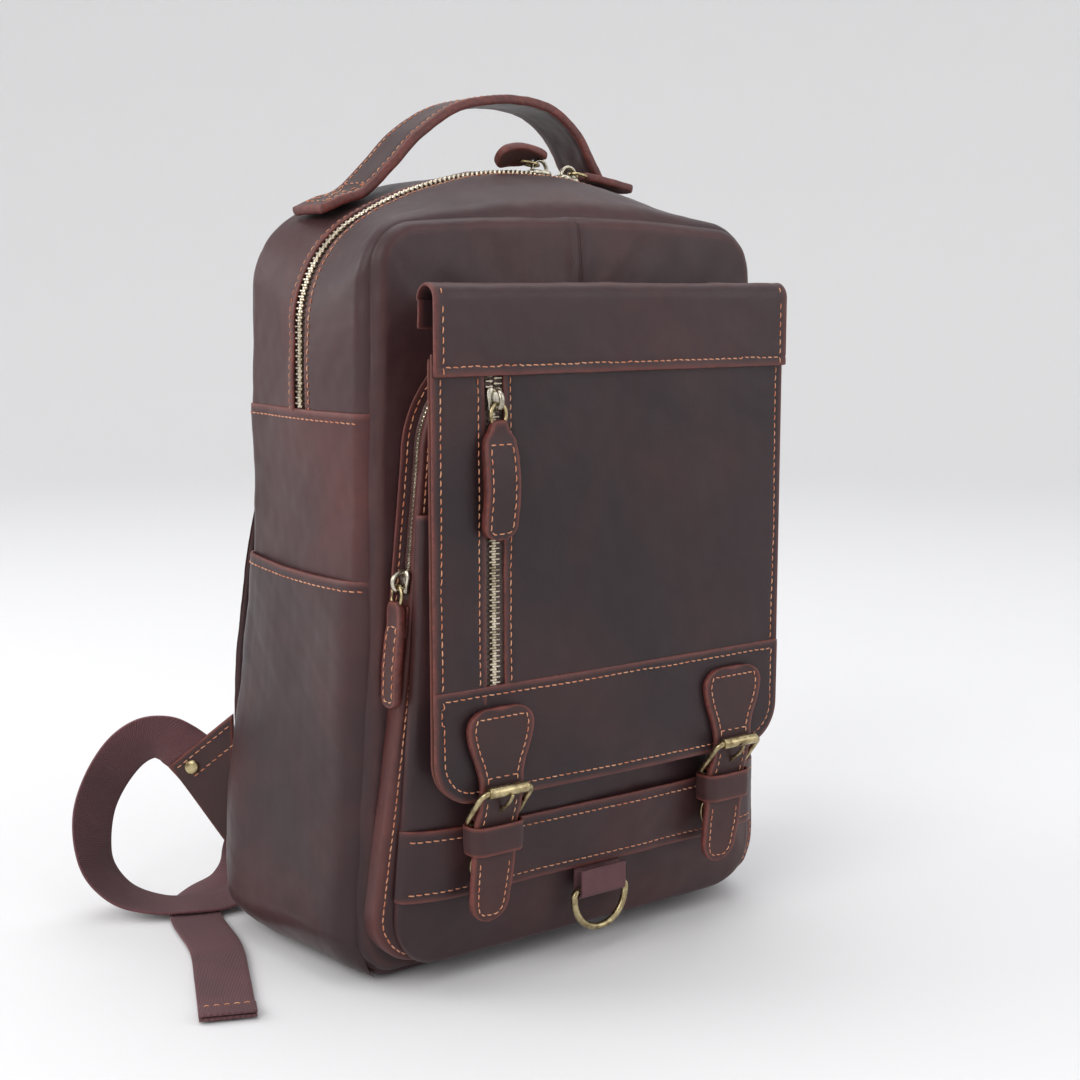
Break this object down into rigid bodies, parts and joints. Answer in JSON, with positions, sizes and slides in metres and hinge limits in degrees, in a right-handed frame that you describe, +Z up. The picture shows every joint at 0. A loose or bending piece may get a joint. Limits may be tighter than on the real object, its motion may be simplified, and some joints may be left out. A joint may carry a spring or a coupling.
{
  "type": "leather backpack",
  "caption": "Upright leather backpack with a buckled front flap, arched and vertical zips, slip side pockets, a top handle, a D-ring and webbing shoulder straps.",
  "frame": {"origin": "on the surface the bag stands on, under the middle of its flat base, at the mount base", "axes": "+Z up, -Y towards the front with the flap, +X to the right of a viewer who faces the front"},
  "size_m": [0.4275, 0.3059, 0.4635],
  "materials": {
    "leather": "oiled full-grain, dark brown with red-brown pull-up",
    "strap_leather": "oiled full-grain, red-brown raw edges",
    "webbing": "woven, maroon brown",
    "lining": "plain woven lining over stiff board",
    "zip_tape": "woven tape with metal teeth",
    "antique_brass": "antique, satin",
    "nickel": "aged, satin"
  },
  "bodies": {
    "root": {"back_panel": "leather", "lower_gusset": "leather", "rear_gusset": "leather", "front_gusset": "leather", "front_panel": "leather", "side_pocket_left": "leather", "side_pocket_right": "leather", "laptop_divider": "lining", "base_board": "lining", "main_zip": "zip_tape", "organizer_pocket": "leather", "organizer_zip": "zip_tape", "flap_pocket": "leather", "pocket_band": "leather", "flap_anchor": "leather", "dring_loop": "webbing", "top_handle": "strap_leather", "webbing_left": "webbing", "webbing_tail_left": "webbing", "webbing_tab_left": "strap_leather", "snap_stud_left": "antique_brass", "webbing_right": "webbing", "webbing_tail_right": "webbing", "webbing_tab_right": "strap_leather", "snap_stud_right": "antique_brass"},
    "flap": {"flap_panel": "leather", "flap_top_strip": "leather", "flap_bottom_band": "leather", "flap_zip": "zip_tape", "billet_left": "strap_leather", "chape_left": "strap_leather", "keeper_left": "strap_leather", "snap_cap_left": "antique_brass", "buckle_frame_left": "antique_brass", "billet_right": "strap_leather", "chape_right": "strap_leather", "keeper_right": "strap_leather", "snap_cap_right": "antique_brass", "buckle_frame_right": "antique_brass"},
    "d_ring": {"d_ring": "antique_brass"},
    "flap_slider": {"flap_slider": "nickel"},
    "flap_pull": {"flap_ring": "antique_brass", "flap_pull": "strap_leather"},
    "organizer_slider": {"organizer_slider": "nickel"},
    "organizer_pull": {"organizer_ring": "antique_brass", "organizer_pull": "strap_leather"},
    "buckle_roller_left": {"buckle_roller_left": "antique_brass"},
    "buckle_prong_left": {"buckle_prong_left": "antique_brass"},
    "main_slider_left": {"main_left_slider": "nickel"},
    "main_pull_left": {"main_left_ring": "antique_brass", "main_left_pull": "strap_leather"},
    "shoulder_strap_left": {"shoulder_strap_left": "strap_leather", "strap_glide_left": "antique_brass"},
    "buckle_roller_right": {"buckle_roller_right": "antique_brass"},
    "buckle_prong_right": {"buckle_prong_right": "antique_brass"},
    "main_slider_right": {"main_right_slider": "nickel"},
    "main_pull_right": {"main_right_ring": "antique_brass", "main_right_pull": "strap_leather"},
    "shoulder_strap_right": {"shoulder_strap_right": "strap_leather", "strap_glide_right": "antique_brass"}
  },
  "joints": [
    {"name": "flap_hinge", "type": "hinge", "parent": "root", "child": "flap", "pos_m": [0, -0.0791, 0.352], "axis": [-1, 0, 0], "range_deg": [0, 180]},
    {"name": "d_ring_swing", "type": "hinge", "parent": "root", "child": "d_ring", "pos_m": [0, -0.07, 0.036], "axis": [-1, 0, 0], "range_deg": [0, 110]},
    {"name": "flap_slider_slide", "type": "slide", "parent": "flap", "child": "flap_slider", "axis": [0, 0, -1], "range_m": [-0.004, 0.08]},
    {"name": "flap_pull_swing", "type": "hinge", "parent": "flap_slider", "child": "flap_pull", "pos_m": [-0.079, -0.0878, 0.302], "axis": [-1, 0, 0], "range_deg": [0, 90]},
    {"name": "organizer_slider_slide", "type": "slide", "parent": "root", "child": "organizer_slider", "axis": [0.0978, 0, 0.9952], "range_m": [-0.006, 0.05]},
    {"name": "organizer_pull_swing", "type": "hinge", "parent": "organizer_slider", "child": "organizer_pull", "pos_m": [-0.11887, -0.05749, 0.21248], "axis": [0, 1, 0], "range_deg": [0, 90]},
    {"name": "roller_spin_left", "type": "hinge", "parent": "flap", "child": "buckle_roller_left", "pos_m": [-0.0785, -0.0946, 0.11], "axis": [1, 0, 0], "continuous": true},
    {"name": "prong_swing_left", "type": "hinge", "parent": "flap", "child": "buckle_prong_left", "pos_m": [-0.0785, -0.0793, 0.091], "axis": [1, 0, 0], "range_deg": [0, 45]},
    {"name": "main_slider_slide_left", "type": "hinge", "parent": "root", "child": "main_slider_left", "pos_m": [0, 0.00828, 0.22], "axis": [0, 1, 0], "range_deg": [-33, 0]},
    {"name": "main_pull_swing_left", "type": "hinge", "parent": "main_slider_left", "child": "main_pull_left", "pos_m": [0.01586, 0.00828, 0.42419], "axis": [0, 1, 0], "range_deg": [-12, 70]},
    {"name": "strap_swing_left", "type": "hinge", "parent": "root", "child": "shoulder_strap_left", "pos_m": [-0.04, 0.09, 0.393], "axis": [1, 0, 0], "range_deg": [0, 20]},
    {"name": "roller_spin_right", "type": "hinge", "parent": "flap", "child": "buckle_roller_right", "pos_m": [0.0785, -0.0946, 0.11], "axis": [1, 0, 0], "continuous": true},
    {"name": "prong_swing_right", "type": "hinge", "parent": "flap", "child": "buckle_prong_right", "pos_m": [0.0785, -0.0793, 0.091], "axis": [1, 0, 0], "range_deg": [0, 45]},
    {"name": "main_slider_slide_right", "type": "hinge", "parent": "root", "child": "main_slider_right", "pos_m": [0, 0.00828, 0.22], "axis": [0, 1, 0], "range_deg": [0, 17.5]},
    {"name": "main_pull_swing_right", "type": "hinge", "parent": "main_slider_right", "child": "main_pull_right", "pos_m": [0.03929, 0.00828, 0.42101], "axis": [0, -1, 0], "range_deg": [0, 80]},
    {"name": "strap_swing_right", "type": "hinge", "parent": "root", "child": "shoulder_strap_right", "pos_m": [0.04, 0.09, 0.393], "axis": [1, 0, 0], "range_deg": [0, 20]}
  ]
}
